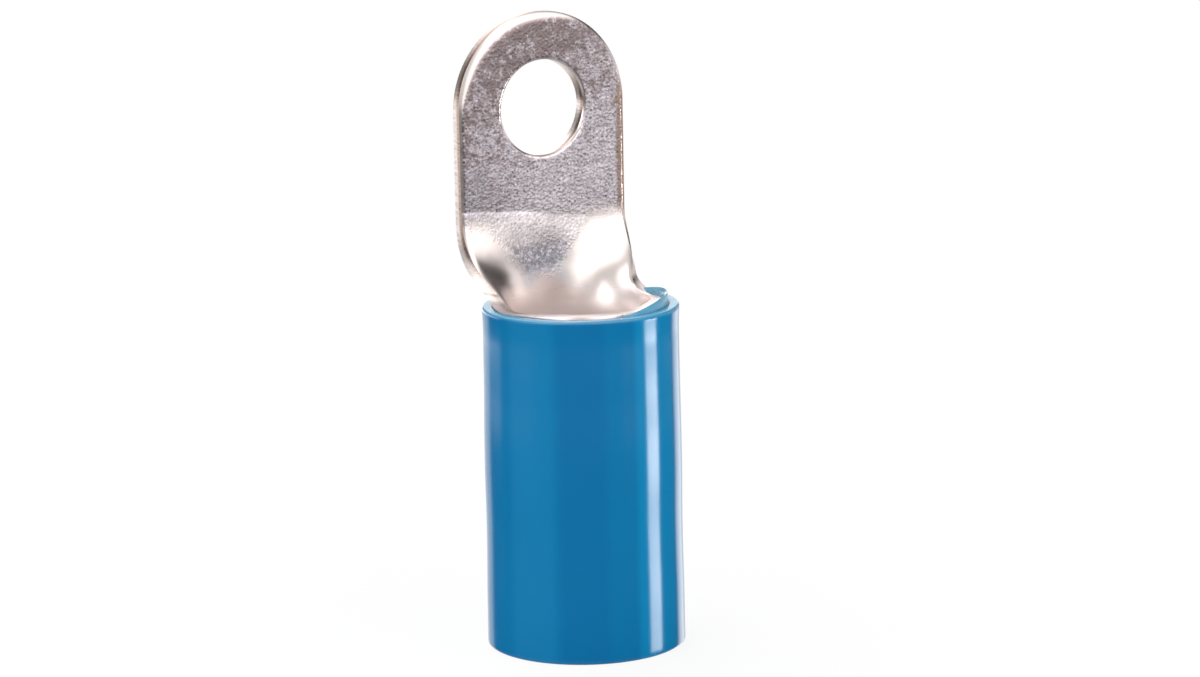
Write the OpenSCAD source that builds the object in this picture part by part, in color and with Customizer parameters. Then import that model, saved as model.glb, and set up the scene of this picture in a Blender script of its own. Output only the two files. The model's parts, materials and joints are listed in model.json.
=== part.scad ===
// Insulated ring terminal for a crimped wire.
// A stamped copper sheet, tin-plated, has a flat tongue with a stud hole. Below the tongue the sheet
// rolls up through a trough-shaped neck into a closed barrel for the wire. A plastic sleeve covers the
// barrel and reaches past it at the wire end.
// The origin is on the barrel's axis at the sleeve's wire end. +Z runs up to the tongue's tip, and the
// hollow side of the neck faces -Y.

/* [Overall] */
// Height from the sleeve's wire end to the tip of the tongue
overall_h = 36.0; // [33:0.5:44]
// Length of the insulating sleeve
sleeve_len = 19.7; // [16:0.1:24]

/* [Tongue] */
// Width of the tongue
tongue_w = 10.8; // [9:0.1:13]
// Thickness of the copper sheet, the same in tongue, neck and barrel
sheet_t = 0.95; // [0.7:0.05:1.2]
// Diameter of the stud hole
hole_d = 5.5; // [3.7:0.1:6.6]
// Distance from the middle of the stud hole to the tip of the tongue
hole_to_tip = 5.5; // [4.5:0.1:6.6]
// Width of the rounding that the punch leaves along the front edge
edge_roll_w = 0.42; // [0.2:0.02:0.6]
// Depth of that rounding
edge_roll_h = 0.2; // [0.1:0.02:0.3]
// Depth of the slighter rounding along the back edge
back_roll_h = 0.06; // [0.02:0.01:0.12]
// Rounding of the stud hole's front rim
hole_roll = 0.14; // [0.06:0.02:0.25]
// How much thinner the tongue's front is struck than the rest of the sheet
strike_depth = 0.06; // [0.02:0.01:0.1]
// Height of the strike's lower edge above the end of the neck
strike_rise = 0.15; // [0.1:0.05:0.5]

/* [Neck] */
// Height over which the flat tongue rolls up into the round barrel
neck_len = 4.7; // [3.5:0.1:6]
// How fast the roll comes in: 1 is even, more leaves the top flatter
roll_power = 2.1; // [1.4:0.1:3]
// How far the neck's foot spreads round the barrel's rim on each side
shoulder_w = 1.45; // [0.8:0.05:2]
// Height of that spread
shoulder_h = 0.85; // [0.4:0.05:1.4]

/* [Barrel] */
// Outside diameter of the wire barrel
barrel_d = 9.05; // [8:0.05:11]
// Length of the wire barrel
barrel_len = 10.5; // [8:0.1:12.5]
// How far the barrel's rim stands above the sleeve's mouth
rim_proud = 0.05; // [0:0.01:0.2]
// Number of grip grooves inside the barrel
groove_count = 3; // [2:1:4]
// Width of each grip groove
groove_w = 0.7; // [0.4:0.1:0.9]
// Depth of each grip groove
groove_depth = 0.12; // [0.05:0.01:0.15]
// Width of the seam line where the rolled edges meet
seam_w = 0.12; // [0.06:0.02:0.2]
// Depth of the seam line, inside and outside
seam_depth = 0.1; // [0.05:0.01:0.15]
// Chamfer at the barrel's wire end
barrel_chamfer = 0.25; // [0.1:0.05:0.3]

/* [Sleeve] */
// Clearance all round between the barrel and the sleeve
sleeve_fit = 0.08; // [0.05:0.01:0.2]
// Wall of the sleeve at its mouth
mouth_wall = 0.96; // [0.8:0.02:1.2]
// Wall of the sleeve at its wire end
entry_wall = 0.8; // [0.6:0.02:1.2]
// How much wider than the barrel's seat the wire entry is, all round
entry_step = 0.28; // [0.15:0.01:0.4]
// Clear length between the end of the barrel and the wire entry's shoulder
entry_gap = 0.3; // [0.15:0.05:0.6]
// Inward slope of the mouth's inner edge: its width
mouth_slope_w = 0.4; // [0.2:0.02:0.5]
// Inward slope of the mouth's inner edge: its depth
mouth_slope_h = 0.55; // [0.3:0.05:0.8]
// Rounding of the sleeve's outer edges
sleeve_round = 0.16; // [0.08:0.02:0.25]
// How far the mouth flares out at its rim
mouth_flare = 0.05; // [0:0.01:0.1]
// Height of that flare
flare_h = 1.6; // [1:0.1:3]

/* [Hidden] */
$fn = 96;

// Barrel
barrel_r = barrel_d / 2;
bore_r = barrel_r - sheet_t;
mean_r = barrel_r - sheet_t / 2;
rim_z = sleeve_len + rim_proud;
barrel_z = rim_z - barrel_len;

// Neck and tongue: the sheet's middle surface stays at mean_r behind the axis
neck_top = rim_z + neck_len;
half_w = tongue_w / 2;
arc_z = overall_h - half_w;
hole_z = overall_h - hole_to_tip;

// Depth to which the neck's foot is let into the barrel's wall, and its clearance from both faces there
foot_depth = 0.5;
foot_inset = 0.02;
// Depth below the rim at which the shoulder's curve would run out level, so that its lowest ring is not
// a sliver
shoulder_sink = 0.08;
// Height above the rim at which the neck has its full thickness
foot_blend = 0.15;

// How finely curved faces are divided
neck_rings = 14;
shoulder_rings = 6;
face_steps = 20;
corner_steps = 3;
// Curvature below which the sheet counts as flat
no_roll = 1e-6;

// How far a cutting tool runs past the face that it cuts, and past a face that it only has to clear
overrun = 1;
tool_clear = 0.01;

// Sleeve
seat_r = barrel_r + sleeve_fit;
entry_r = seat_r + entry_step;
entry_top = barrel_z - entry_gap - entry_step;
mouth_r = seat_r + mouth_wall;
foot_r = entry_r + entry_wall;

function clamp(v, low, high) = min(max(v, low), high);

// Share of the full roll that the sheet has reached at height z
function rolled(z) = pow(clamp((neck_top - z) / neck_len, 0, 1), roll_power);

// Half width of the sheet, along its middle surface: the tongue's, then the shoulder's quarter ellipse
function sheet_half_w(z) =
    let (v = clamp((z - rim_z + shoulder_sink) / shoulder_h, 0, 1))
    half_w + shoulder_w * (1 - sqrt(1 - (1 - v) * (1 - v)));

// Place of a point of the sheet: s is its distance from the middle line along the sheet, and n its
// distance behind the sheet's middle surface
function bent(s, n, z) =
    let (k = rolled(z) / mean_r)
    k < no_roll ? [s, mean_r + n, z] :
    let (a = s * k * 180 / PI, r = 1 / k + n)
    [r * sin(a), mean_r - 1 / k + r * cos(a), z];

// Places across the sheet from its edge at +w to its edge at -w, each with the angle that its rounded
// corner has turned through there: 90 at the very edge and 0 on the flat faces
function corner_stations(w) =
    [for (i = [corner_steps : -1 : 1])
        let (a = 90 * i / corner_steps)
        [w - edge_roll_w * (1 - sin(a)), a]];
function sheet_stations(w, steps) =
    let (flat_w = w - edge_roll_w, corner = corner_stations(w))
    concat(
        corner,
        [for (i = [0 : steps]) [flat_w * (1 - 2 * i / steps), 0]],
        [for (i = [corner_steps - 1 : -1 : 0]) [-corner[i].x, corner[i].y]]
    );

// Cross-section of the sheet, half width w and thickness t: the back face from +w to -w, then the front
// face back again. Both faces have the same stations
function back_face(stations, t) =
    [for (p = stations) [p.x, t / 2 - back_roll_h * (1 - cos(p.y))]];
function front_face(stations, t) =
    [for (i = [len(stations) - 1 : -1 : 0])
        [stations[i].x, -t / 2 + edge_roll_h * (1 - cos(stations[i].y))]];
function sheet_section(w, t, steps) =
    let (stations = sheet_stations(w, steps))
    concat(back_face(stations, t), front_face(stations, t));

// Heights of the neck's rings, from its foot inside the barrel's wall up to the tongue
function ring_heights() = concat(
    [rim_z - foot_depth, rim_z],
    [for (i = [1 : shoulder_rings]) rim_z + shoulder_h * (1 - cos(90 * i / shoulder_rings))],
    [for (i = [1 : neck_rings]) rim_z + shoulder_h + (neck_len - shoulder_h) * i / neck_rings]
);

// A ring of the neck at height z, with every point bent to the roll at that height
function neck_ring(z) =
    let (t = sheet_t - 2 * foot_inset * clamp(1 - (z - rim_z) / foot_blend, 0, 1))
    [for (p = sheet_section(sheet_half_w(z), t, face_steps)) bent(p.x, p.y, z)];

// Joins rings of equal length into a closed solid. The two halves of a ring face each other, and each
// end is closed by a strip between them
module loft(rings) {
    count = len(rings[0]);
    last = (len(rings) - 1) * count;
    sides = [for (r = [0 : len(rings) - 2]) for (i = [0 : count - 1])
        let (a = r * count + i, b = r * count + (i + 1) % count)
        each [[a, b + count, b], [a, a + count, b + count]]];
    bottom = [for (i = [0 : count / 2 - 2]) [i, i + 1, count - 2 - i, count - 1 - i]];
    top = [for (i = [0 : count / 2 - 2])
        [last + i, last + count - 1 - i, last + count - 2 - i, last + i + 1]];
    polyhedron(points = [for (ring = rings) each ring], faces = concat(sides, bottom, top), convexity = 6);
}

module neck() {
    loft([for (z = ring_heights()) neck_ring(z)]);
}

// Flat tongue: a straight strip with the sheet's cross-section, closed by half a turn of the same edge
module tongue() {
    translate([0, mean_r, neck_top])
        linear_extrude(arc_z - neck_top)
            polygon(sheet_section(half_w, sheet_t, 1));
    translate([0, mean_r, arc_z])
        rotate([90, 0, 0])
            rotate_extrude(angle = 180)
                polygon([for (p = sheet_section(half_w, sheet_t, 2)) if (p.x > -tool_clear) [p.x, -p.y]]);
}

// Stud hole with its front rim rounded
module stud_hole() {
    translate([0, mean_r, hole_z])
        rotate([90, 0, 0]) {
            cylinder(d = hole_d, h = sheet_t + 2 * overrun, center = true);
            rotate_extrude()
                polygon(concat(
                    [[0, sheet_t / 2 - hole_roll]],
                    [for (i = [0 : corner_steps])
                        let (a = 90 * i / corner_steps)
                        [hole_d / 2 + hole_roll * (1 - cos(a)), sheet_t / 2 - hole_roll * (1 - sin(a))]],
                    [[hole_d / 2 + hole_roll, sheet_t / 2 + overrun], [0, sheet_t / 2 + overrun]]
                ));
        }
}

// Rolled barrel: a tube with a bevelled wire end, grip grooves inside and a seam at the front
module barrel() {
    difference() {
        translate([0, 0, barrel_z])
            cylinder(r = barrel_r, h = barrel_len);
        translate([0, 0, barrel_z - overrun])
            cylinder(r = bore_r, h = barrel_len + 2 * overrun);
        translate([0, 0, barrel_z - tool_clear])
            cylinder(r1 = bore_r + barrel_chamfer, r2 = bore_r, h = barrel_chamfer);
        grip_grooves();
        seam_line(barrel_r - seam_depth);
        seam_line(bore_r - seam_depth);
    }
}

module grip_grooves() {
    pitch = barrel_len / (groove_count + 1);
    for (i = [1 : groove_count])
        translate([0, 0, barrel_z + pitch * i - groove_w / 2])
            cylinder(r = bore_r + groove_depth, h = groove_w);
}

// A shallow straight groove down the front of the barrel, from radius r outwards
module seam_line(r) {
    translate([-seam_w / 2, -r - 2 * seam_depth, barrel_z - overrun])
        cube([seam_w, 2 * seam_depth, barrel_len + 2 * overrun]);
}

// What the strike takes off the tongue's front face
module strike() {
    low_z = neck_top + strike_rise;
    translate([-half_w - overrun, mean_r - sheet_t / 2 - overrun, low_z])
        cube([tongue_w + 2 * overrun, overrun + strike_depth, overall_h - low_z + overrun]);
}

module terminal() {
    color([0.80, 0.78, 0.77])
        difference() {
            union() {
                barrel();
                neck();
                tongue();
            }
            stud_hole();
            strike();
        }
}

// Sleeve: one turned profile. It widens a little towards the wire end, flares at its mouth, and steps
// out inside below the barrel, where the wire's own insulation goes in
module insulating_sleeve() {
    color([0.0, 0.44, 0.68])
        rotate_extrude()
            polygon(concat(
                [[entry_r + sleeve_round, 0], [foot_r - sleeve_round, 0]],
                [for (i = [1 : corner_steps])
                    let (a = 90 * i / corner_steps)
                    [foot_r - sleeve_round * (1 - sin(a)), sleeve_round * (1 - cos(a))]],
                [[mouth_r, sleeve_len - flare_h]],
                [for (i = [0 : corner_steps])
                    let (a = 90 * i / corner_steps)
                    [mouth_r + mouth_flare - sleeve_round * (1 - cos(a)),
                     sleeve_len - sleeve_round * (1 - sin(a))]],
                [[seat_r + mouth_slope_w, sleeve_len], [seat_r, sleeve_len - mouth_slope_h]],
                [[seat_r, entry_top + entry_step], [entry_r, entry_top], [entry_r, sleeve_round]]
            ));
}

terminal();
insulating_sleeve();
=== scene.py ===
"""Insulated ring terminal: a rolled copper blank with tin plating, and its plastic sleeve.

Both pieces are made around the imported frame, in metres, with +Z along the wire barrel.
"""

import json
import math

import bmesh
import bpy
from bpy.props import FloatProperty, FloatVectorProperty, IntProperty, PointerProperty
from mathutils import Matrix, Vector


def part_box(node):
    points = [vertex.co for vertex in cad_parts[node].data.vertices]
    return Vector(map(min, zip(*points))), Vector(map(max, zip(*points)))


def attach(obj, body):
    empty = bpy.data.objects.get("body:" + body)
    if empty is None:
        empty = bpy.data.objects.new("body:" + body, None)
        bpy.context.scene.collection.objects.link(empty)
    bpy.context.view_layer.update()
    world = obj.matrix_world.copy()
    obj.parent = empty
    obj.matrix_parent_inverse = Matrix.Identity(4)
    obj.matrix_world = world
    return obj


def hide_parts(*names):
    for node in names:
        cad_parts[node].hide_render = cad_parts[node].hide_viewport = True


bl_info = {
    "name": "Ring Terminal",
    "version": (1, 0, 0),
    "blender": (4, 5, 0),
    "location": "3D View > Sidebar > Terminal",
    "description": "Makes a tinned ring terminal with its insulating sleeve, and a plain stage for it",
    "category": "Object",
}

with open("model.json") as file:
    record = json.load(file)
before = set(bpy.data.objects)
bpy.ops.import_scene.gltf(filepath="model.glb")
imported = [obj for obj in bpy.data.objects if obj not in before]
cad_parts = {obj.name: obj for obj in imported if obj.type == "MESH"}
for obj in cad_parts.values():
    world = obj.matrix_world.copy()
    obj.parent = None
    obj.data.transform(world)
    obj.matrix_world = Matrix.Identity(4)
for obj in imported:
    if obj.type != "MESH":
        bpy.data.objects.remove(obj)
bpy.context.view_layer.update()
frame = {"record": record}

MM = 0.001
ROOT = "root"
MOUNTS = {mount["name"]: mount for mount in frame["record"]["mounts"]}
TERMINAL_LOW, TERMINAL_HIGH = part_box("terminal")
SLEEVE_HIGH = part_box("insulating_sleeve")[1]

# The barrel's rim stands this far above the sleeve's mouth
RIM_PROUD = 0.05 * MM

# Points nearer than this are one point
MERGE = 0.0004 * MM


def mount_radius(name):
    """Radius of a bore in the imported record, in metres."""
    return MOUNTS[name]["dims"]["r_mm"] * MM


# ---- Sizes and colours ----


def length(name, default, description):
    """A size in metres."""
    return FloatProperty(
        name=name, description=description, default=default, min=0, precision=6, unit="LENGTH"
    )


def factor(name, default, description):
    """A plain share or multiple."""
    return FloatProperty(name=name, description=description, default=default, subtype="FACTOR")


def count(name, default, description):
    """A whole number."""
    return IntProperty(name=name, description=description, default=default, min=0)


def colour(name, default, description):
    """A linear colour."""
    return FloatVectorProperty(
        name=name, description=description, default=default, size=3, min=0, max=1, subtype="COLOR"
    )


class TerminalSizes(bpy.types.PropertyGroup):
    """The copper blank: its outline, its thickness and how it is rolled."""

    barrel_r: length("Barrel radius", TERMINAL_HIGH[1], "Outside radius of the wire barrel")
    bore_r: length("Bore radius", mount_radius("wire_barrel"), "Inside radius of the wire barrel")
    barrel_end: length("Barrel end", TERMINAL_LOW[2], "Height of the barrel's wire end")
    rim: length("Rim", SLEEVE_HIGH[2] + RIM_PROUD, "Height of the barrel's upper rim")
    tip: length("Tip", TERMINAL_HIGH[2], "Height of the tip of the tongue")
    half_width: length("Half width", TERMINAL_HIGH[0], "Half the width of the tongue")
    hole_r: length("Hole radius", mount_radius("stud_hole"), "Radius of the stud hole")
    hole_height: length("Hole height", MOUNTS["stud_hole"]["pos_m"][2], "Height of the stud hole's middle")
    neck_length: length("Neck length", 4.7 * MM, "Height over which the sheet rolls up")
    roll_power: factor("Roll power", 2.1, "How late the roll comes in along the neck")
    root_ease: factor("Root ease", 0.32, "Share of the neck over which its root is eased")
    shoulder_w: length("Shoulder width", 1.45 * MM, "Spread of the neck's foot on each side")
    shoulder_h: length("Shoulder height", 0.85 * MM, "Height of that spread")
    band: length("Edge band", 0.62 * MM, "Width of the rounded band along the punched edge")
    edge_drop: length("Edge drop", 0.22 * MM, "Depth of the rounding at the front edge of the tip")
    side_band: length("Side band", 0.27 * MM, "Width of the rounding along the straight edges")
    side_drop: length("Side drop", 0.11 * MM, "Depth of the rounding along the straight edges")
    burr_drop: length("Burr drop", 0.05 * MM, "Depth of the rounding at the back edge")
    hole_band: length("Hole band", 0.2 * MM, "Width of the rounding round the hole")
    hole_drop: length("Hole drop", 0.13 * MM, "Depth of the rounding round the hole")
    coin_depth: length("Coin depth", 0.1 * MM, "How much thinner the tongue is struck")
    coin_fade: length("Coin fade", 0.8 * MM, "Distance over which that depth fades down the neck")
    scribe_depth: length("Scribe depth", 0.014 * MM, "Sharp step along the left of the crease")
    seam_gap: length("Seam gap", 0.012 * MM, "Gap where the barrel's two edges meet")
    groove_count: count("Grooves", 3, "Number of grip grooves inside the barrel")
    groove_w: length("Groove width", 0.7 * MM, "Width of a grip groove")
    groove_depth: length("Groove depth", 0.12 * MM, "Depth of a grip groove")
    dent_depth: length("Dent depth", 0.012 * MM, "Depth of the tumbling dents")
    dent_scale: length("Dent size", 0.9 * MM, "Distance between the tumbling dents")
    seed: count("Seed", 7, "Seed of the dents")
    tin: colour("Tin", (0.8, 0.725, 0.775), "Colour of the tin plating")
    tarnish: colour("Tarnish", (0.34, 0.26, 0.26), "Colour of the plating towards the tip")
    # Burnished tin is also the colour of the painted glints and of the painted light under the struck step
    burnished: colour("Burnished tin", (0.86, 0.765, 0.735), "Colour where the forming tool rubbed")
    # Bare copper is also the colour towards which painted shade darkens the straight edges, the right face
    # and the wall over the tip
    bare: colour("Sheared edge", (0.33, 0.235, 0.195), "Colour of the sheared edge, where copper shows")


class SleeveSizes(bpy.types.PropertyGroup):
    """The plastic sleeve: one turned profile, a little uneven as moulded."""

    height: length("Height", SLEEVE_HIGH[2], "Length of the sleeve")
    foot_r: length("Foot radius", SLEEVE_HIGH[0], "Outside radius at the wire end")
    mouth_r: length("Mouth radius", 5.565 * MM, "Outside radius below the flare of the mouth")
    seat_r: length("Seat radius", 4.605 * MM, "Inside radius round the barrel")
    entry_r: length("Entry radius", mount_radius("insulation_entry"), "Inside radius at the wire end")
    entry_top: length("Entry height", 8.67 * MM, "Height at which the wire entry ends")
    flare: length("Flare", 0.05 * MM, "Outward flare of the mouth")
    flare_h: length("Flare height", 1.6 * MM, "Height of that flare")
    edge_r: length("Edge radius", 0.16 * MM, "Rounding of the outer edges")
    slope_w: length("Slope width", 0.46 * MM, "Width of the slope inside the mouth")
    slope_h: length("Slope height", 0.55 * MM, "Depth of the slope inside the mouth")
    lip_h: length("Lip height", 0.78 * MM, "Height of the collar pressed up inside the mouth")
    wave: length("Wave", 0.03 * MM, "Unevenness of the outside")
    segments: count("Segments", 192, "Segments round the sleeve")
    seed: count("Seed", 3, "Seed of the unevenness")
    plastic: colour("Plastic", (0.0, 0.157, 0.358), "Colour of the plastic")
    # Partly painted light on the top of the mouth, partly the paler thin plastic there
    thin_and_lit_plastic: colour("Thin plastic", (0.16, 0.43, 0.58), "Colour where the mouth is thin")
    # Painted shade: the dark stripe down the side
    shade_stripe_plastic: colour("Deep plastic", (0.0, 0.08, 0.26), "Colour of the dark stripe down the side")
    lit_plastic: colour("Lit plastic", (0.0, 0.26, 0.52), "Colour of the light stripes down the side")


class StageSizes(bpy.types.PropertyGroup):
    """The floor, the studio light and the camera."""

    floor_r: length("Floor radius", 0.9, "Radius of the round floor")
    floor_colour: colour("Floor", (0.8, 0.8, 0.8), "Colour of the floor")
    distance: length("Camera distance", 0.235863, "Distance from the camera to its target")
    lens: FloatProperty(name="Lens", description="Focal length", default=124.53, unit="CAMERA")


# ---- Node trees ----


class Wire:
    """An output socket of a node. Arithmetic on it adds Math nodes to its tree."""

    def __init__(self, tree, socket):
        self.tree = tree
        self.socket = socket

    def of(self, name):
        """Another output of the same node."""
        return Wire(self.tree, self.socket.node.outputs[name])

    def math(self, operation, *values):
        """A Math node on these values."""
        return self.tree.add("ShaderNodeMath", {"operation": operation}, dict(enumerate(values)))

    def __add__(self, other):
        return self.math("ADD", self, other)

    def __radd__(self, other):
        return self.math("ADD", other, self)

    def __sub__(self, other):
        return self.math("SUBTRACT", self, other)

    def __rsub__(self, other):
        return self.math("SUBTRACT", other, self)

    def __mul__(self, other):
        return self.math("MULTIPLY", self, other)

    def __rmul__(self, other):
        return self.math("MULTIPLY", other, self)

    def __truediv__(self, other):
        return self.math("DIVIDE", self, other)

    def __rtruediv__(self, other):
        return self.math("DIVIDE", other, self)

    def __pow__(self, other):
        return self.math("POWER", self, other)

    def __neg__(self):
        return self.math("MULTIPLY", self, -1.0)

    def __abs__(self):
        return self.math("ABSOLUTE", self)

    def sin(self):
        return self.math("SINE", self)

    def cos(self):
        return self.math("COSINE", self)

    def turn_from(self, other):
        """Angle in degrees, turning from the axis of other to the axis of this wire."""
        return self.math("ARCTAN2", self, other) * (180 / math.pi)

    def at_least(self, low):
        return self.math("MAXIMUM", self, low)

    def at_most(self, high):
        return self.math("MINIMUM", self, high)

    def step(self, low, high):
        """0 below low and 1 above high, with a smooth change between."""
        settings = {"interpolation_type": "SMOOTHSTEP"}
        return self.tree.add(
            "ShaderNodeMapRange", settings, {"Value": self, "From Min": low, "From Max": high}
        )

    def fall(self, low, high):
        """1 below low and 0 above high, with a smooth change between."""
        return 1.0 - self.step(low, high)

    def window(self, low, high, soft):
        """1 between low and high, fading to 0 over soft on each side."""
        return self.step(low - soft, low) * self.fall(high, high + soft)


class Tree:
    """A node tree that is filled by calls to add."""

    def __init__(self, node_tree):
        self.nodes = node_tree.nodes
        self.links = node_tree.links

    def add(self, kind, settings=None, inputs=None, output=0):
        """Adds a node: its settings first, then the values or links of its sockets."""
        node = self.nodes.new(kind)
        for name, value in (settings or {}).items():
            setattr(node, name, value)
        for name, value in (inputs or {}).items():
            socket = node.inputs[name]
            if isinstance(value, Wire):
                self.links.new(value.socket, socket)
            else:
                socket.default_value = value
        return Wire(self, node.outputs[output]) if len(node.outputs) else node

    def mix(self, share, low, high):
        """Mixes two colours by share."""
        settings = {"data_type": "RGBA"}
        inputs = {"Factor": share, 6: as_colour(low), 7: as_colour(high)}
        return self.add("ShaderNodeMix", settings, inputs, output=2)

    def noise(self, place, scale, detail, rough):
        """Noise from 0 to 1; scale is in turns a metre."""
        inputs = {"Vector": place, "Scale": scale, "Detail": detail, "Roughness": rough}
        return self.add("ShaderNodeTexNoise", {"noise_dimensions": "3D"}, inputs)

    def seeded_noise(self, place, seed, scale, detail):
        """Noise from 0 to 1 that changes with its seed."""
        inputs = {"Vector": place, "W": seed, "Scale": scale, "Detail": detail}
        return self.add("ShaderNodeTexNoise", {"noise_dimensions": "4D"}, inputs)

    def cells(self, place, scale):
        """Distance to the nearest of a scatter of points."""
        return self.add("ShaderNodeTexVoronoi", {"feature": "F1"}, {"Vector": place, "Scale": scale})

    def stretched(self, place, scale):
        """The same place with its axes scaled."""
        return self.add("ShaderNodeMapping", {}, {"Vector": place, "Scale": scale})

    def axes(self, place):
        """The three numbers of a place."""
        parts = self.add("ShaderNodeSeparateXYZ", {}, {"Vector": place})
        return parts.of("X"), parts.of("Y"), parts.of("Z")

    def joined(self, x, y, z):
        """The place with these three numbers."""
        return self.add("ShaderNodeCombineXYZ", {}, {"X": x, "Y": y, "Z": z})

    def moved(self, shape, x, y, z):
        """The shape with its points at these places."""
        inputs = {"Geometry": shape, "Position": self.joined(x, y, z)}
        return self.add("GeometryNodeSetPosition", {}, inputs)

    def bump(self, height, depth, strength):
        """A bump whose height runs over depth metres."""
        inputs = {"Height": height, "Distance": depth, "Strength": strength}
        return self.add("ShaderNodeBump", {}, inputs)


def as_colour(value):
    """A plain colour gets its alpha; a wire is left as it is."""
    return value if isinstance(value, Wire) else (*value, 1.0)


def toned(tint, share):
    """A plain colour made darker or lighter."""
    return [value * share for value in tint]


def new_material(name):
    """An empty material and its tree."""
    material = bpy.data.materials.new(name)
    material.use_nodes = True
    material.node_tree.nodes.clear()
    return material, Tree(material.node_tree)


def finish_material(tree, kind, inputs):
    """Ends a material's tree in a shader of this kind."""
    tree.add("ShaderNodeOutputMaterial", {}, {"Surface": tree.add(kind, {}, inputs)})


# ---- Meshes made by node trees ----

SOCKET_KINDS = {
    float: "NodeSocketFloat",
    int: "NodeSocketInt",
    bpy.types.Material: "NodeSocketMaterial",
}


def shape_tree(name, build, values):
    """A Geometry Nodes tree made by build(tree, wires), with a named input for each of values."""
    group = bpy.data.node_groups.new(name, "GeometryNodeTree")
    face = group.interface
    face.new_socket("Geometry", in_out="INPUT", socket_type="NodeSocketGeometry")
    for label, value in values.items():
        face.new_socket(label, in_out="INPUT", socket_type=SOCKET_KINDS[type(value)])
    face.new_socket("Geometry", in_out="OUTPUT", socket_type="NodeSocketGeometry")
    tree = Tree(group)
    start = tree.add("NodeGroupInput")
    wires = {label: start.of(label) for label in ["Geometry", *values]}
    shape = build(tree, wires)
    whole = tree.add("GeometryNodeRealizeInstances", {}, {"Geometry": shape})
    dressed = tree.add(
        "GeometryNodeSetMaterial", {}, {"Geometry": whole, "Material": wires["Material"]}
    )
    tree.add("NodeGroupOutput", {}, {"Geometry": dressed})
    return group


def with_nodes(name, mesh, group, values):
    """A piece with a plain mesh: what the node tree makes of mesh with these values."""
    piece = bpy.data.objects.new(name, mesh)
    bpy.context.scene.collection.objects.link(piece)
    modifier = piece.modifiers.new(name, "NODES")
    modifier.node_group = group
    keys = {
        item.name: item.identifier
        for item in group.interface.items_tree
        if item.item_type == "SOCKET" and item.in_out == "INPUT"
    }
    for label, value in values.items():
        modifier[keys[label]] = value
    depsgraph = bpy.context.evaluated_depsgraph_get()
    made = bpy.data.meshes.new_from_object(
        piece.evaluated_get(depsgraph), preserve_all_data_layers=True, depsgraph=depsgraph
    )
    piece.modifiers.clear()
    piece.data = made
    made.name = name
    bpy.data.meshes.remove(mesh)
    if not made.polygons:
        raise RuntimeError(name + " came out empty")
    return piece


def dress(piece, sharp):
    """Outward normals, and smooth shading that breaks only at edges sharper than sharp."""
    shape = bmesh.new()
    shape.from_mesh(piece.data)
    bmesh.ops.remove_doubles(shape, verts=shape.verts, dist=MERGE)
    bmesh.ops.recalc_face_normals(shape, faces=shape.faces)
    open_edges = sum(1 for edge in shape.edges if not edge.is_manifold)
    shape.to_mesh(piece.data)
    shape.free()
    if open_edges:
        raise RuntimeError(f"{piece.name} has {open_edges} open edges")
    piece.data.polygons.foreach_set("use_smooth", [True] * len(piece.data.polygons))
    piece.data.set_sharp_from_angle(angle=sharp)


def spread(low, high, steps):
    """steps + 1 numbers from low to high."""
    return [low + (high - low) * i / steps for i in range(steps + 1)]


def smooth_step(value, low, high):
    """0 below low and 1 above high, with a smooth change between."""
    share = min(max((value - low) / (high - low), 0.0), 1.0)
    return share * share * (3 - 2 * share)


# ---- Terminal: the flat blank, then its roll ----

# Distance between the blank's rows, and between those near the struck step, with their heights
STEP = 0.2 * MM
FINE_STEP = 0.07 * MM
FINE_LOW, FINE_HIGH = 23.3 * MM, 25.3 * MM

# Numbers of steps between the blank's rows and columns
HALF_NECK_STEPS = 24
BARREL_ROUND_STEPS = 20
BARREL_HEIGHT_STEPS = 30
SHOULDER_STEPS = 10
BELOW_RING_STEPS = 3
HALF_TIP_STEPS = 38
RING_STEPS = 11
WALL_STEPS = 6

# Places of a rounded band's rows, closer together towards the edge
BAND_SHARES = (0.0, 0.05, 0.11, 0.19, 0.29, 0.41, 0.56, 0.76, 1.0)

# Half the width of a grip groove's wall, and how far the barrel's other rows keep from it
GROOVE_WALL = 0.02 * MM
GROOVE_CLEAR = 0.08 * MM

# Edge of the struck tongue: its height in the middle, and its tilt and sag over half the width
CREASE, CREASE_TILT, CREASE_SAG = 24.42 * MM, 0.62 * MM, 0.12 * MM

# The ring of faces reaches below the hole's middle by half the tongue's width, less this
RING_MARGIN = 0.5 * MM

# Where round the hole the punch pulled its edge most, and the share of that where it pulled least
PULL_TURN = math.radians(-45)
LEAST_PULL = 0.3

# How steeply a rounded band falls away towards its edge
ROUNDING_POWER = 2.2


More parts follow.
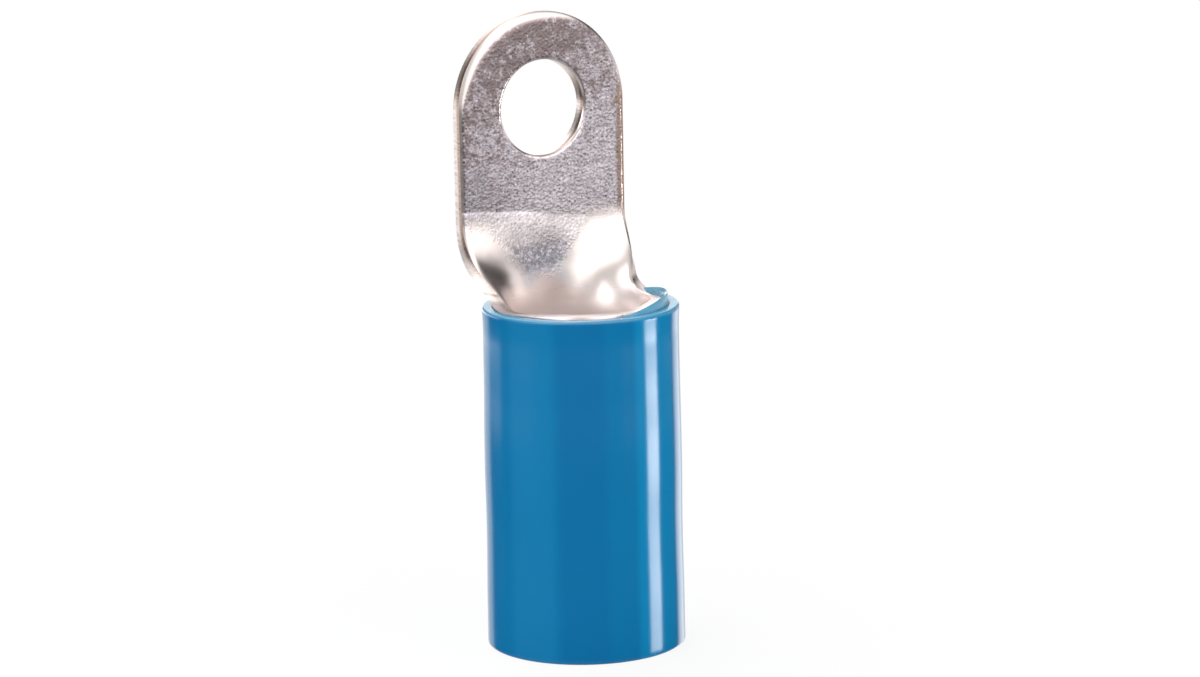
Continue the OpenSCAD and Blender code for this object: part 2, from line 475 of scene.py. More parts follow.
class Blank:
    """The flat copper blank in developed places: s across it, z up it and n through it."""

    def __init__(self, sizes):
        self.sizes = sizes
        self.thick = sizes.barrel_r - sizes.bore_r
        self.mean_r = sizes.barrel_r - self.thick / 2
        self.seam = math.pi * self.mean_r - sizes.seam_gap / 2
        self.arc_z = sizes.tip - sizes.half_width
        self.ring_z = sizes.hole_height - sizes.half_width + RING_MARGIN
        self.half_flat = sizes.half_width - sizes.band
        pitch = (sizes.rim - sizes.barrel_end) / (sizes.groove_count + 1)
        self.grooves = [sizes.barrel_end + pitch * (i + 1) for i in range(sizes.groove_count)]
        self.mesh = bmesh.new()
        self.uv = self.mesh.loops.layers.uv.new("developed")
        self.wall = self.mesh.faces.layers.float.new("wall")
        self.rounding = self.mesh.verts.layers.float.new("rounding")

    # Outline: each station is a place on the edge and the way inwards from it

    def columns(self):
        """Half of the columns across the neck, as shares of its half width."""
        return spread(0.0, 1.0, HALF_NECK_STEPS)

    def barrel_columns(self):
        """Half of the columns round the barrel: the neck's own, then more up to the seam."""
        foot = self.sizes.half_width + self.sizes.shoulder_w
        inner = [foot * share for share in self.columns()]
        return inner + spread(foot, self.seam - self.sizes.band, BARREL_ROUND_STEPS)[1:]

    def barrel_rows(self):
        """Heights of the rows up the barrel, with two at each wall of a groove."""
        sizes = self.sizes
        rows = spread(sizes.barrel_end + sizes.band, sizes.rim - sizes.band, BARREL_HEIGHT_STEPS)
        for middle in self.grooves:
            for edge in (middle - sizes.groove_w / 2, middle + sizes.groove_w / 2):
                rows = [z for z in rows if abs(z - edge) > GROOVE_CLEAR]
                rows += [edge - GROOVE_WALL, edge + GROOVE_WALL]
        return sorted(rows)

    def shoulder_angles(self):
        """Turns of the stations round a shoulder, from the barrel's rim up to the neck's side."""
        return spread(0.0, math.pi / 2, SHOULDER_STEPS)[1:]

    def neck_rows(self):
        """Heights of the rows from the shoulder's top to the hole's ring."""
        sizes = self.sizes
        low = sizes.rim + sizes.shoulder_h
        rows = spread(low, FINE_LOW, round((FINE_LOW - low) / STEP))
        rows += spread(FINE_LOW, FINE_HIGH, round((FINE_HIGH - FINE_LOW) / FINE_STEP))[1:]
        return rows + spread(FINE_HIGH, self.ring_z, BELOW_RING_STEPS)[1:]

    def side_rows(self):
        """Heights of the stations up the tongue's straight side, beside the hole's ring."""
        return spread(self.ring_z, self.arc_z, round((self.arc_z - self.ring_z) / STEP))[1:]

    def right_outline(self):
        """Stations from the middle of the wire end, round the right side, to the tip."""
        sizes = self.sizes
        stations = [(s, sizes.barrel_end, 0, 1) for s in self.barrel_columns()[:-1]]
        stations.append((self.seam, sizes.barrel_end, -1, 1))
        stations += [(self.seam, z, -1, 0) for z in self.barrel_rows()[1:-1]]
        stations.append((self.seam, sizes.rim, -1, -1))
        foot = len(self.columns()) - 1
        stations += [(s, sizes.rim, 0, -1) for s in self.barrel_columns()[-2:foot - 1:-1]]
        middle_s, middle_z = sizes.half_width + sizes.shoulder_w, sizes.rim + sizes.shoulder_h
        for turn in self.shoulder_angles():
            across, up = math.sin(turn), math.cos(turn)
            way = Vector((-across / sizes.shoulder_w, -up / sizes.shoulder_h)).normalized()
            s, z = middle_s - sizes.shoulder_w * across, middle_z - sizes.shoulder_h * up
            stations.append((s, z, way.x, way.y))
        straight = self.neck_rows()[1:] + self.side_rows()
        stations += [(sizes.half_width, z, -1, 0) for z in straight]
        for turn in spread(0.0, math.pi / 2, HALF_TIP_STEPS)[1:]:
            across, up = math.cos(turn), math.sin(turn)
            s, z = sizes.half_width * across, self.arc_z + sizes.half_width * up
            stations.append((s, z, -across, -up))
        return stations

    def outline(self):
        """Stations all round the blank."""
        right = self.right_outline()
        left = [(-s, z, -ds, dz) for s, z, ds, dz in right[-2:0:-1]]
        return right + left

    # Heights through the sheet

    def crease(self, s):
        """Height of the edge of the struck tongue, which lies a little askew."""
        share = s / self.sizes.half_width
        return CREASE - CREASE_TILT * share - CREASE_SAG * share * share

    def front(self, s, z, drop):
        """Place through the sheet of the front face, where the edge's rounding is drop deep."""
        sizes = self.sizes
        n = -self.thick / 2 + drop

        # The tongue is struck thinner: its onset is crisp on the left and soft on the right
        below = max(self.crease(s) - z, 0.0)
        softness = (0.02 + 0.45 * smooth_step(s, -1.2 * MM, 2.4 * MM)) * MM
        eased = math.hypot(below, softness) - softness
        n += sizes.coin_depth * math.exp(-eased / sizes.coin_fade)

        # Over the left half, a faint sharp step lies along the crease
        left = 1 - smooth_step(s, -1.6 * MM, 0.2 * MM)
        n += sizes.scribe_depth * left * smooth_step(z - self.crease(s), -0.04 * MM, 0.04 * MM)

        if any(abs(z - middle) < sizes.groove_w / 2 for middle in self.grooves):
            n += sizes.groove_depth
        return n

    def back(self, drop):
        """Place through the sheet of the back face, where the edge's rounding is drop deep."""
        return self.thick / 2 - drop

    # Patches

    def patch(self, rows, wall=0.0, flip=False):
        """A grid of faces. Each row holds points (s, n, z, u, v, drop)."""
        made = [[self.mesh.verts.new(point[:3]) for point in row] for row in rows]
        for verts, row in zip(made, rows):
            for vert, point in zip(verts, row):
                vert[self.rounding] = point[5] / MM
        for j in range(len(rows) - 1):
            for i in range(len(rows[0]) - 1):
                ring = [(j, i), (j, i + 1), (j + 1, i + 1), (j + 1, i)]
                if flip:
                    ring.reverse()
                face = self.mesh.faces.new([made[a][b] for a, b in ring])
                face[self.wall] = wall
                for loop, (a, b) in zip(face.loops, ring):
                    loop[self.uv].uv = (rows[a][b][3] / MM, rows[a][b][4] / MM)

    def sheet(self, rows):
        """The same patch on both faces of the sheet. Rows hold s, z, and the front and back drops."""
        front = [
            [(s, self.front(s, z, drop), z, s, z, drop) for s, z, drop, _ in row] for row in rows
        ]
        back = [[(s, self.back(drop), z, s, z, drop) for s, z, _, drop in row] for row in rows]
        self.patch(front)
        self.patch(back, flip=True)

    def flat_sheet(self, rows):
        """Both faces of a patch that no edge rounds."""
        self.sheet([[(s, z, 0.0, 0.0) for s, z in row] for row in rows])

    def rolled_edge(self, s, z):
        """Share of the tip's rounding that the outline has here: the punch pulled most at its left."""
        over_tip = smooth_step(z, self.arc_z - 0.6 * MM, self.arc_z + 2.2 * MM)
        return over_tip * (1 - smooth_step(s, -0.6 * MM, 3.2 * MM))

    def edge_bands(self, stations, width, rolls):
        """The rounded bands along an edge on both faces, and the sheared wall between them.

        Each of rolls gives a station's rounding: its width and depth in front, and its depth behind.
        """
        stations = stations + stations[:1]
        rolls = rolls + rolls[:1]
        rows = []
        for share in BAND_SHARES:
            row = []
            for (s, z, ds, dz), (reach, front_drop, back_drop) in zip(stations, rolls):
                fall = max(1 - share * width / reach, 0.0) ** ROUNDING_POWER
                place = (s + ds * width * share, z + dz * width * share)
                row.append((*place, front_drop * fall, back_drop * fall))
            rows.append(row)
        self.sheet(rows)
        run = [0.0]
        for (s0, z0, *_), (s1, z1, *_) in zip(stations, stations[1:]):
            run.append(run[-1] + math.hypot(s1 - s0, z1 - z0))
        layers = []
        for share in spread(0.0, 1.0, WALL_STEPS):
            layer = []
            for (s, z, front_drop, back_drop), along in zip(rows[0], run):
                low, high = self.front(s, z, front_drop), self.back(back_drop)
                depth = share * self.thick
                layer.append((s, low + (high - low) * share, z, along, depth, front_drop))
            layers.append(layer)
        self.patch(layers, wall=1.0)

    def build(self):
        """Fills the blank with its patches and returns its mesh, centred on the sheet's middle."""
        sizes = self.sizes
        outline = self.outline()
        rolls = []
        for s, z, _, _ in outline:
            share = self.rolled_edge(s, z)
            reach = sizes.side_band + (sizes.band - sizes.side_band) * share
            drop = sizes.side_drop + (sizes.edge_drop - sizes.side_drop) * share
            rolls.append((reach, drop, sizes.burr_drop))
        self.edge_bands(outline, sizes.band, rolls)

        def mirrored(values):
            return [-value for value in values[:0:-1]] + list(values)

        # Barrel
        columns = mirrored(self.barrel_columns())
        self.flat_sheet([[(s, z) for s in columns] for z in self.barrel_rows()])

        # Neck, from the foot of the shoulders up to the hole's ring
        shares = mirrored(self.columns())
        inset = [(s + ds * sizes.band, z + dz * sizes.band) for s, z, ds, dz in self.right_outline()]
        first = len(self.barrel_columns()) + len(self.barrel_rows()) - 2
        first += len(self.barrel_columns()) - len(self.columns())
        last = first + len(self.shoulder_angles()) + len(self.neck_rows()) - 1
        self.flat_sheet([[(half * share, z) for share in shares] for half, z in inset[first:last + 1]])

        # Ring round the stud hole
        bottom = [(self.half_flat * share, self.ring_z) for share in self.columns()]
        around = bottom + inset[last + 1:]
        around += [(-s, z) for s, z in around[-2:0:-1]]
        hole = []
        for s, z in around:
            way = Vector((s, z - sizes.hole_height)).normalized()
            hole.append((sizes.hole_r * way.x, sizes.hole_height + sizes.hole_r * way.y, way.x, way.y))
        hole_rolls = []
        for across, up, _, _ in hole:
            away = math.atan2(up - sizes.hole_height, across) - PULL_TURN
            pull = (0.5 + 0.5 * math.cos(away)) ** 1.5
            share = LEAST_PULL + (1 - LEAST_PULL) * pull
            hole_rolls.append((sizes.hole_band, sizes.hole_drop * share, sizes.burr_drop))
        self.edge_bands(hole, sizes.hole_band, hole_rolls)
        inner = [(s + ds * sizes.hole_band, z + dz * sizes.hole_band) for s, z, ds, dz in hole]
        rings = [
            [
                (a[0] + (b[0] - a[0]) * share, a[1] + (b[1] - a[1]) * share)
                for a, b in zip(around + around[:1], inner + inner[:1])
            ]
            for share in spread(0.0, 1.0, RING_STEPS)
        ]
        self.flat_sheet(rings)

        bmesh.ops.remove_doubles(self.mesh, verts=self.mesh.verts, dist=MERGE)
        made = bpy.data.meshes.new("blank")
        self.mesh.to_mesh(made)
        self.mesh.free()
        return made


def roll_blank(tree, wires):
    """Bends the blank: every height gets its own radius, from flat at the tongue to round below."""
    place = tree.add("GeometryNodeInputPosition")
    s, n, z = tree.axes(place)

    # Tumbling dents
    dents = tree.seeded_noise(place, wires["Seed"], 1.0 / wires["Dent size"], 2.0)
    n = n + (dents - 0.5) * wires["Dent depth"] * 2.0

    # Share of the full roll at this height
    rise = ((wires["Neck top"] - z) / wires["Neck length"]).at_least(0.0)
    sharp = rise.at_most(1.0) ** wires["Roll power"]

    # The neck runs into the barrel through an eased root, and its shoulders keep their line
    root = 1.0 - wires["Root ease"]
    along = ((rise - root) / (2.0 * wires["Root ease"])).at_most(1.0).at_least(0.0)
    start = root ** wires["Roll power"]
    slope = wires["Roll power"] * start / root * 2.0 * wires["Root ease"]
    cubed = (1.0 - start) * along * along * (3.0 - 2.0 * along)
    eased = rise.at_most(root) ** wires["Roll power"] + cubed + slope * along * (1.0 - along) ** 2.0
    share = eased + (sharp - eased) * abs(s).step(6.5 * MM, 9.5 * MM)

    def drawn_in(angle):
        """Sine of an angle over the angle, safe at 0."""
        size = abs(angle) + 1e-5
        return size.sin() / size

    # The bend, by the turn that it gives this point
    turn = s * share / wires["Middle radius"]
    half = turn * 0.5
    x = s * drawn_in(turn) + n * turn.sin()
    y = wires["Middle radius"] - s * drawn_in(half) * half.sin() + n * turn.cos()
    return tree.moved(wires["Geometry"], x, y, z)


class Skin:
    """What the terminal's finishes share: distances in millimetres, and patterns from 0 to 1."""

    def __init__(self, tree):
        self.place = tree.add("ShaderNodeTexCoord").of("Object")
        x, _, z = tree.axes(self.place)
        self.across, self.height = x / MM, z / MM
        self.wall = tree.add("ShaderNodeAttribute", {"attribute_name": "wall"}).of("Fac")
        rounded = tree.add("ShaderNodeAttribute", {"attribute_name": "rounding"}).of("Fac")
        self.crystals = tree.noise(self.place, 7600.0, 2.0, 0.6)
        self.mottle = tree.noise(self.place, 3400.0, 3.0, 0.65)
        self.clouds = tree.noise(self.place, 1100.0, 3.0, 0.55)
        self.pits = tree.cells(self.place, 2600.0).fall(0.1, 0.26)

        # Frosted skin that is left: forming rubbed it off down the neck and round the edges
        off_middle = (abs(self.across + 0.45) - 0.9).at_least(0.0).at_most(2.6)
        ragged = (self.clouds - 0.5) * 1.4 + (self.crystals - 0.5) * 1.8
        left = (self.height - off_middle * 1.25 + ragged).step(20.4, 21.5)
        self.frost = left * rounded.fall(0.0, 0.05)

        # Rounded bands up the tongue's two straight sides
        beside_hole = self.height.window(24.6, 30.6, 1.4)
        at_sides = abs(self.across).step(4.3, 4.7)
        self.straight_edge = rounded.step(0.0, 0.012) * beside_hole * at_sides


def frosted_tin(tree, skin, sizes):
    """Colour of the untouched plating."""
    across, height = skin.across, skin.height

    # Grain: dark in the pits, light on the crystals, duller low on the left
    scratches = tree.noise(tree.stretched(skin.place, (1.0, 1.0, 0.1)), 6500.0, 2.0, 0.5)
    grain = skin.crystals * 0.6 + skin.clouds * 0.5 + scratches * 0.3 - skin.pits * 0.25
    low_left = (-across).step(0.6, 4.4) * height.fall(25.0, 29.0)
    shade = grain.step(0.32, 0.84) * (1.0 - 0.5 * low_left)
    tint = tree.mix(shade, toned(sizes.tin, 0.42), toned(sizes.tin, 1.25))

    # Tarnish in patches, more towards the tip and the left, and painted glints as bright flecks through it
    wear = (height - 27.0) * 0.13 - across * 0.05 - 0.04
    patches = (skin.clouds - 0.5) * 2.2 + (skin.mottle - 0.5) * 3.0
    tarnish = (wear + patches).at_least(0.0).at_most(0.95)
    tint = tree.mix(tarnish * height.step(23.6, 24.8), tint, sizes.tarnish)
    painted_glints = tree.cells(skin.place, 2100.0).fall(0.09, 0.2) * skin.crystals.step(0.42, 0.55)
    tint = tree.mix(painted_glints * (0.25 + 0.6 * tarnish), tint, sizes.burnished)

    # Darker mottling in the middle, below the struck step
    darker_middle = height.window(21.7, 22.6, 1.2) * abs(across + 0.7).fall(1.4, 3.6)
    darker_middle = darker_middle * (skin.mottle * 0.55 + skin.crystals * 0.45).step(0.38, 0.56)
    return tree.mix(darker_middle * 0.7, tint, toned(sizes.tin, 0.26))


def plated_tin(tree, skin, sizes):
    """Colour of the plating: frosted, burnished where it was formed, with painted light under the struck
    step and painted shade towards copper along the straight edges.
    """
    tint = tree.mix(skin.frost, sizes.burnished, frosted_tin(tree, skin, sizes))
    # Painted light: the band under the struck step is lightened towards burnished tin
    painted_light_under_crease = skin.height.window(23.0, 24.2, 0.6)
    tint = tree.mix(painted_light_under_crease * 0.5, tint, sizes.burnished)

    # Painted shade: the rounded bands along the straight edges are darkened towards copper, most on the
    # right, and so is the face beside the right edge
    edge_shade = skin.straight_edge * (0.05 + 0.95 * skin.across.step(-2.0, 2.0))
    tint = tree.mix(edge_shade, tint, toned(sizes.bare, 1.3))
    rubbed = (skin.across + (skin.mottle - 0.5) * 0.5).step(4.78, 4.98)
    rubbed = rubbed * skin.height.window(24.8, 31.0, 1.2) * (1.0 - skin.wall)
    return tree.mix(rubbed * 0.85, tint, toned(sizes.bare, 1.35))


def sheared_wall(tree, skin, sizes):
    """The sheared wall: its colour, its streaks through the thickness, and where it is torn."""
    developed = tree.add("ShaderNodeUVMap", {"uv_map": "developed"})
    streaks = tree.noise(tree.stretched(developed, (7.0, 0.5, 1.0)), 1.0, 3.0, 0.6)
    depth = tree.axes(developed)[1]
    torn = (depth + (streaks - 0.5) * 0.4).step(0.25, 0.55)
    torn_tint = tree.mix(streaks.step(0.35, 0.65), sizes.burnished, toned(sizes.burnished, 0.75))
    tint = tree.mix(torn, sizes.bare, torn_tint)

    # Painted shade: the wall is darkened towards bare copper over the tip; it is burnished again at the
    # neck's foot
    tint = tree.mix(skin.height.step(30.0, 32.0) * 0.55, tint, sizes.bare)
    tint = tree.mix(skin.height.fall(21.6, 23.6) * 0.5, tint, sizes.burnished)
    return tint, streaks, torn


def tinned_copper(sizes):
    """Tin plating over copper: frosty where untouched, burnished where formed, bare where cut."""
    material, tree = new_material("tinned_copper")
    skin = Skin(tree)
    wall, frost = skin.wall, skin.frost
    face = 1.0 - wall
    sheared, streaks, torn = sheared_wall(tree, skin, sizes)
    tint = tree.mix(wall, plated_tin(tree, skin, sizes), sheared)

    grains = tree.cells(skin.place, 5200.0)
    frosty = (grains * 0.6 + skin.crystals * 0.45 - skin.pits * 0.3) * frost
    bump = tree.bump(frosty * face + streaks * wall * 0.8, 0.03 * MM, 0.45)

    # The metal is rougher and less of a mirror down inside the barrel
    inside = skin.height.fall(17.2, 20.9)
    plated_rough = 0.24 - 0.06 * frost + 0.1 * skin.crystals * frost - 0.12 * skin.straight_edge
    sheared_rough = 0.26 + 0.08 * torn
    rough = plated_rough * face + sheared_rough * wall + 0.2 * inside
    metallic = 1.0 - 0.65 * inside
    inputs = {"Base Color": tint, "Metallic": metallic, "Roughness": rough, "Normal": bump}
    finish_material(tree, "ShaderNodeBsdfPrincipled", inputs)
    return material


class TERMINAL_OT_blank(bpy.types.Operator):
    """Make the tinned copper terminal from a flat blank rolled to shape"""

    bl_idname = "terminal.blank"
    bl_label = "Terminal"

    def execute(self, context):
        sizes = context.scene.terminal_sizes
        blank = Blank(sizes)
        values = {
            "Neck top": sizes.rim + sizes.neck_length,
            "Neck length": sizes.neck_length,
            "Roll power": sizes.roll_power,
            "Root ease": sizes.root_ease,
            "Middle radius": blank.mean_r,
            "Dent depth": sizes.dent_depth,
            "Dent size": sizes.dent_scale,
            "Seed": float(sizes.seed),
            "Material": tinned_copper(sizes),
        }
        group = shape_tree("Roll the blank", roll_blank, values)
        piece = with_nodes("tinned_terminal", blank.build(), group, values)
        dress(piece, sharp=math.radians(32))
        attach(piece, ROOT)
        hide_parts("terminal")
        return {"FINISHED"}


# ---- Sleeve: a turned profile ----

# Numbers of steps along the sleeve's profile
FLARE_STEPS = 8
SIDE_STEPS = 60
ENTRY_STEPS = 16
SEAT_STEPS = 20
ROUNDING_STEPS = 6

# Slope inside the mouth, as shares of its width and depth, and how far each point rises with the lip
SLOPE = (
    (0.09, 0.91, 0.0),
    (0.17, 0.8, 0.6),
    (0.26, 0.69, 1.0),
    (0.38, 0.56, 1.0),
    (0.52, 0.46, 1.0),
    (0.68, 0.36, 1.0),
    (0.76, 0.3, 0.9),
    (0.84, 0.22, 0.45),
    (0.91, 0.14, 0.0),
    (1.0, 0.03, 0.0),
    (1.12, 0.0, 0.0),
)


def arc_points(middle_r, middle_z, radius, start, end):
    """Points of an arc from start to end, in degrees."""
    turns = [math.radians(turn) for turn in spread(start, end, ROUNDING_STEPS)]
    return [
        (middle_r + radius * math.cos(turn), middle_z + radius * math.sin(turn)) for turn in turns
    ]


def sleeve_profile(sizes):
    """The sleeve's section as (radius, height, share of the lip), from the mouth's outer edge down."""
    edge = sizes.edge_r
    top = sizes.height
    side_top = top - sizes.flare_h

    # Outside: the mouth's edge, the flare and the side
    points = arc_points(sizes.mouth_r + sizes.flare - edge, top - edge, edge, 90, 0)
    for z in spread(top - edge, side_top, FLARE_STEPS)[1:]:
        share = (z - side_top) / (sizes.flare_h - edge)
        points.append((sizes.mouth_r + sizes.flare * share * share, z))
    for share in spread(0.0, 1.0, SIDE_STEPS)[1:]:
        r = sizes.mouth_r + (sizes.foot_r - sizes.mouth_r) * share
        points.append((r, side_top * (1 - share) + edge * share))

    # Wire end, the entry for the wire's insulation, and the seat round the barrel
    points += arc_points(sizes.foot_r - edge, edge, edge, 0, -90)[1:]
    points += arc_points(sizes.entry_r + edge, edge, edge, -90, -180)
    points += [(sizes.entry_r, z) for z in spread(edge, sizes.entry_top, ENTRY_STEPS)[1:]]
    seat_low = sizes.entry_top + sizes.entry_r - sizes.seat_r
    points += [(sizes.seat_r, z) for z in spread(seat_low, top - sizes.slope_h, SEAT_STEPS)]
    slope = [
        (sizes.seat_r + across * sizes.slope_w, top - down * sizes.slope_h, weight)
        for across, down, weight in SLOPE
    ]
    return [(r, z, 0.0) for r, z in points] + slope


def profile_mesh(sizes):
    """The profile as a closed line of edges, its places measured out from the seat's radius."""
    profile = sleeve_profile(sizes)
    line = bpy.data.meshes.new("sleeve_profile")
    line.from_pydata(
        [(r - sizes.seat_r, -z, 0.0) for r, z, _ in profile],
        [(i, (i + 1) % len(profile)) for i in range(len(profile))],
        [],
    )
    lip = line.attributes.new("lip", "FLOAT", "POINT")
    lip.data.foreach_set("value", [weight for _, _, weight in profile])
    return line


def turn_sleeve(tree, wires):
    """Turns the profile round the axis, then makes the moulding uneven and raises the lip."""
    line = tree.add("GeometryNodeMeshToCurve", {}, {"Mesh": wires["Geometry"]})
    path = tree.add(
        "GeometryNodeCurvePrimitiveCircle",
        {},
        {"Resolution": wires["Segments"], "Radius": wires["Seat radius"]},
    )
    tube = tree.add("GeometryNodeCurveToMesh", {}, {"Curve": path, "Profile Curve": line})
    place = tree.add("GeometryNodeInputPosition")
    x, y, z = tree.axes(place)

    # The outside swells and narrows, by its seed and at two heights
    flat = tree.joined(x, y, 0.0)
    radius = tree.add("ShaderNodeVectorMath", {"operation": "LENGTH"}, {0: flat}, output=1)
    outside = radius.step(5.1 * MM, 5.3 * MM) * z.fall(19.0 * MM, 19.5 * MM)
    swell = (tree.seeded_noise(place, wires["Seed"], 110.0, 1.0) - 0.5) * wires["Wave"] * 2.0
    swell = swell + 0.03 * MM * z.window(10.8 * MM, 11.8 * MM, 3.6 * MM)
    swell = swell - 0.02 * MM * z.window(5.8 * MM, 6.4 * MM, 3.4 * MM)
    grown = 1.0 + swell * outside / radius

    # The collar stands up from the front round to the right
    lip = tree.add("GeometryNodeInputNamedAttribute", {"data_type": "FLOAT"}, {"Name": "lip"})
    turn = y.turn_from(x)
    lift = lip * turn.step(-114.0, -48.0) * turn.fall(-25.0, 50.0) * wires["Lip height"]
    return tree.moved(tube, x * grown, y * grown, z + lift)


def blue_plastic(sizes):
    """Glossy moulded plastic, a little cloudy, with painted shade and painted light in stripes down its
    side.
    """
    material, tree = new_material("blue_plastic")
    place = tree.add("ShaderNodeTexCoord").of("Object")
    x, y, z = tree.axes(place)
    cloud = tree.noise(place, 260.0, 2.0, 0.5)
    tint = tree.mix(cloud, toned(sizes.plastic, 0.93), toned(sizes.plastic, 1.05))
    turn = y.turn_from(x)
    # Painted shade in a dark stripe down the side, and painted light in lighter stripes
    painted_shade_stripe = 0.24 * turn.window(-132.0, -112.0, 9.0)
    tint = tree.mix(painted_shade_stripe, tint, sizes.shade_stripe_plastic)
    lit = 0.12 * turn.window(-164.0, -143.0, 8.0) + 0.5 * turn.window(-86.0, -60.0, 6.0)
    tint = tree.mix(lit, tint, sizes.lit_plastic)
    # Partly painted light on the top of the mouth, partly the paler thin plastic there
    tint = tree.mix(z.step(19.5 * MM, 19.75 * MM) * 0.7, tint, sizes.thin_and_lit_plastic)
    bump = tree.bump(tree.noise(place, 700.0, 2.0, 0.5), 0.01 * MM, 0.2)
    inputs = {"Base Color": tint, "Roughness": 0.14, "IOR": 1.5, "Normal": bump}
    finish_material(tree, "ShaderNodeBsdfPrincipled", inputs)
    return material


class TERMINAL_OT_sleeve(bpy.types.Operator):
    """Make the insulating sleeve by turning its profile"""

    bl_idname = "terminal.sleeve"
    bl_label = "Sleeve"

    def execute(self, context):
        sizes = context.scene.sleeve_sizes
        values = {
            "Segments": sizes.segments,
            "Seat radius": sizes.seat_r,
            "Wave": sizes.wave,
            "Lip height": sizes.lip_h,
            "Seed": float(sizes.seed),
            "Material": blue_plastic(sizes),
        }
        group = shape_tree("Turn the sleeve", turn_sleeve, values)
        piece = with_nodes("plastic_sleeve", profile_mesh(sizes), group, values)
        dress(piece, sharp=math.radians(50))
        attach(piece, ROOT)
        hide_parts("insulating_sleeve")
        return {"FINISHED"}


# ---- Stage ----

# The camera's place round the object and its roll, in degrees, and where it looks: a height on the
# axis, then a shift to its right and one down
CAMERA_TURN, CAMERA_RISE, CAMERA_ROLL = -31.811, 11.312, -1.071
TARGET_HEIGHT, TARGET_RIGHT, TARGET_DOWN = 18.0 * MM, 1.075 * MM, 0.352 * MM


def add_camera(sizes):
    """The camera, at its place round the object."""
    turn, rise, roll = (math.radians(a) for a in (CAMERA_TURN, CAMERA_RISE, CAMERA_ROLL))
    back = Vector(
        (math.sin(turn) * math.cos(rise), -math.cos(turn) * math.cos(rise), math.sin(rise))
    )
    right = Vector((math.cos(turn), math.sin(turn), 0.0))
    up = back.cross(right)
    target = Vector((0.0, 0.0, TARGET_HEIGHT)) + right * TARGET_RIGHT - up * TARGET_DOWN
    across = right * math.cos(roll) + up * math.sin(roll)
    above = up * math.cos(roll) - right * math.sin(roll)
    lens = bpy.data.cameras.new("camera")
    lens.lens = sizes.lens
    lens.sensor_width = 36.0
    lens.sensor_fit = "HORIZONTAL"
    lens.clip_start = 0.01
    lens.clip_end = 10.0
    camera = bpy.data.objects.new("camera", lens)
    bpy.context.scene.collection.objects.link(camera)
    turned = Matrix((across, above, back)).transposed().to_4x4()
    camera.matrix_world = Matrix.Translation(target + back * sizes.distance) @ turned
    bpy.context.scene.camera = camera


def room(turn, rise, above, between, low):
    """Light level of the room: mid grey, dim on the right and light behind the terminal."""
    level = above * (0.64 - 0.34 * turn.step(66.0, 92.0)) + 0.28 * between + 0.05 * low

    # Dark card on the right, and a dim wall behind on the left
    level = level - 0.26 * turn.window(104.0, 144.0, 8.0) * rise.window(15.0, 34.0, 3.0)
    level = level - 0.42 * above * turn.fall(-120.0, -90.0) * rise.fall(34.0, 42.0)

    # Light behind at every height, and all round from far below
    level = level + 0.6 * (1.0 - turn.window(-150.0, 142.0, 8.0)) * rise.step(12.0, 28.0)
    level = level + 1.15 * (1.0 - turn.window(-164.0, 164.0, 5.0)) * rise.window(2.0, 26.0, 6.0)
    level = level + between * (2.2 * turn.fall(-116.0, -104.0) + 0.5 * turn.step(100.0, 130.0))
    level = level + low * (0.9 * turn.fall(-145.0, -132.0) + 0.9 * turn.step(132.0, 145.0))
    level = level + 1.3 * low * turn.window(138.0, 156.0, 6.0)
    return level + 0.45 * rise.fall(-25.0, -18.0)


def panels(turn, rise, between):
    """Light level of the soft panels on the right of the camera."""
    # The large one has a slanting right edge, a slanting top and a weaker lower edge
    large = turn.step(4.0, 22.0) * (turn - rise).fall(59.0, 67.0)
    large = large * (rise + 0.35 * turn).fall(68.0, 80.0) * rise.step(-9.0, 8.0)
    lower_edge = turn.window(52.0, 74.0, 6.0) * between

    # The small one stands farther right, with a weaker one round it
    small = 0.45 * turn.window(92.0, 109.0, 6.0) + 0.26 * turn.window(88.0, 152.0, 8.0)
    return 1.05 * large + 0.48 * lower_edge + rise.window(-5.0, 11.0, 3.0) * small


def light_strip(turn, rise):
    """Light level of the narrow strip down by the sleeve, stronger towards its top."""
    strength = 7.4 + 9.0 * rise.step(-14.0, -11.4)
    return strength * turn.window(82.5, 97.0, 3.5) * rise.window(-17.5, -11.0, 0.5)


def streak(turn, rise, low):
    """Light level of the slanting streak on the left, with a faint foot."""
    slant = turn + 40.0 + 2.2 * (8.0 - rise).at_least(0.0) - 0.4 * (rise - 8.0).at_least(0.0)
    bright = slant.window(-14.0, 14.0, 6.0) * rise.step(-10.4, -6.0) * rise.fall(30.0, 36.0)
    return 1.9 * bright + 0.1 * turn.window(-88.0, -42.0, 10.0) * low


def ceiling(turn, rise):
    """Light level of the ceiling over the left side, which slants down towards it."""
    return 1.8 * (rise - 0.25 * (turn + 70.0)).step(38.0, 52.0) * turn.fall(-40.0, 0.0)


def add_world():
    """A studio drawn by direction: a white rear, soft panels at the sides and a light ceiling."""
    world = bpy.data.worlds.new("studio")
    world.use_nodes = True
    world.node_tree.nodes.clear()
    tree = Tree(world.node_tree)
    x, y, z = tree.axes(tree.add("ShaderNodeTexCoord").of("Generated"))

    # Turn round the vertical from the camera's side, to its right positive, and rise, in degrees
    toward = math.radians(CAMERA_TURN)
    ahead = x * math.sin(toward) - y * math.cos(toward)
    aside = x * math.cos(toward) + y * math.sin(toward)
    turn = aside.turn_from(ahead)
    rise = z.math("ARCSINE", z) * (180 / math.pi)

    # Three layers: above the level, just below it, and low down
    above = rise.step(-4.0, 6.0)
    low = rise.fall(-11.1, -10.3)
    between = (1.0 - above) * (1.0 - low)

    level = room(turn, rise, above, between, low) + panels(turn, rise, between)
    level = level + light_strip(turn, rise) + streak(turn, rise, low) + ceiling(turn, rise)
    seen = tree.add("ShaderNodeLightPath").of("Is Camera Ray")
    strength = seen + (1.0 - seen) * level
    background = tree.add("ShaderNodeBackground", {}, {"Color": (1, 1, 1, 1), "Strength": strength})
    tree.add("ShaderNodeOutputWorld", {}, {"Surface": background})
    bpy.context.scene.world = world


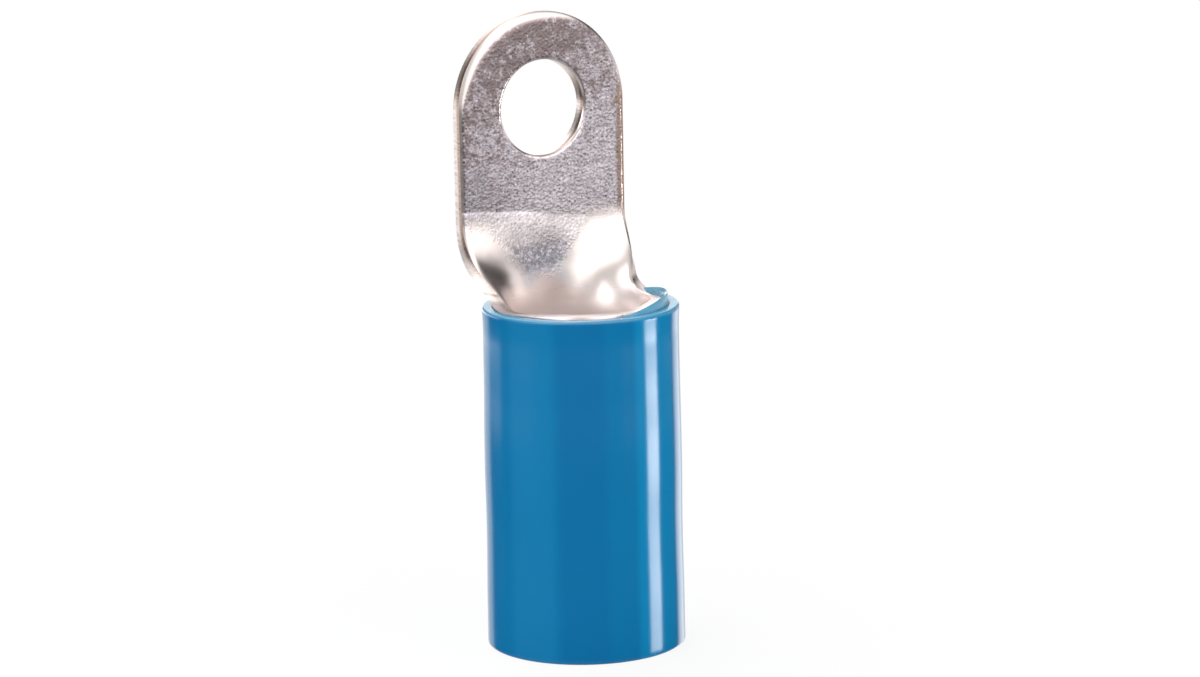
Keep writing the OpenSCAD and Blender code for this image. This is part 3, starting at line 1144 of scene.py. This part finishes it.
def floor_material(sizes):
    """Pale and matt; to the camera it is near white and keeps the shadow."""
    material, tree = new_material("pale_floor")
    place = tree.add("ShaderNodeTexCoord").of("Object")
    cloud = tree.noise(place, 30.0, 2.0, 0.5)
    tint = tree.mix(cloud, toned(sizes.floor_colour, 0.98), sizes.floor_colour)
    matt = tree.add("ShaderNodeBsdfDiffuse", {}, {"Color": tint})
    glow = tree.add("ShaderNodeEmission", {}, {"Color": (1, 1, 1, 1), "Strength": 1.0})
    seen = tree.add("ShaderNodeLightPath").of("Is Camera Ray") * 0.9
    finish_material(tree, "ShaderNodeMixShader", {0: seen, 1: matt, 2: glow})
    return material


class TERMINAL_OT_stage(bpy.types.Operator):
    """Make the floor, the studio light and the camera"""

    bl_idname = "terminal.stage"
    bl_label = "Stage"

    def execute(self, context):
        sizes = context.scene.stage_sizes
        shape = bmesh.new()
        bmesh.ops.create_circle(shape, cap_ends=True, segments=96, radius=sizes.floor_r)
        mesh = bpy.data.meshes.new("floor")
        shape.to_mesh(mesh)
        shape.free()
        mesh.materials.append(floor_material(sizes))
        floor = bpy.data.objects.new("floor", mesh)
        context.scene.collection.objects.link(floor)
        floor.visible_glossy = False
        add_world()
        add_camera(sizes)
        context.scene.view_settings.view_transform = "Standard"
        return {"FINISHED"}


# ---- Add-on ----


class TERMINAL_PT_panel(bpy.types.Panel):
    """Lists the steps that make the terminal"""

    bl_label = "Ring Terminal"
    bl_space_type = "VIEW_3D"
    bl_region_type = "UI"
    bl_category = "Terminal"

    def draw(self, context):
        layout = self.layout
        for operator in (TERMINAL_OT_stage, TERMINAL_OT_blank, TERMINAL_OT_sleeve):
            layout.operator(operator.bl_idname)


CLASSES = (
    TerminalSizes,
    SleeveSizes,
    StageSizes,
    TERMINAL_OT_stage,
    TERMINAL_OT_blank,
    TERMINAL_OT_sleeve,
    TERMINAL_PT_panel,
)


def register():
    for item in CLASSES:
        bpy.utils.register_class(item)
    bpy.types.Scene.terminal_sizes = PointerProperty(type=TerminalSizes)
    bpy.types.Scene.sleeve_sizes = PointerProperty(type=SleeveSizes)
    bpy.types.Scene.stage_sizes = PointerProperty(type=StageSizes)


def unregister():
    del bpy.types.Scene.stage_sizes
    del bpy.types.Scene.sleeve_sizes
    del bpy.types.Scene.terminal_sizes
    for item in reversed(CLASSES):
        bpy.utils.unregister_class(item)


def main():
    """Makes the stage and both pieces."""
    register()
    bpy.ops.terminal.stage()
    bpy.ops.terminal.blank()
    bpy.ops.terminal.sleeve()


if __name__ == "__main__":
    main()
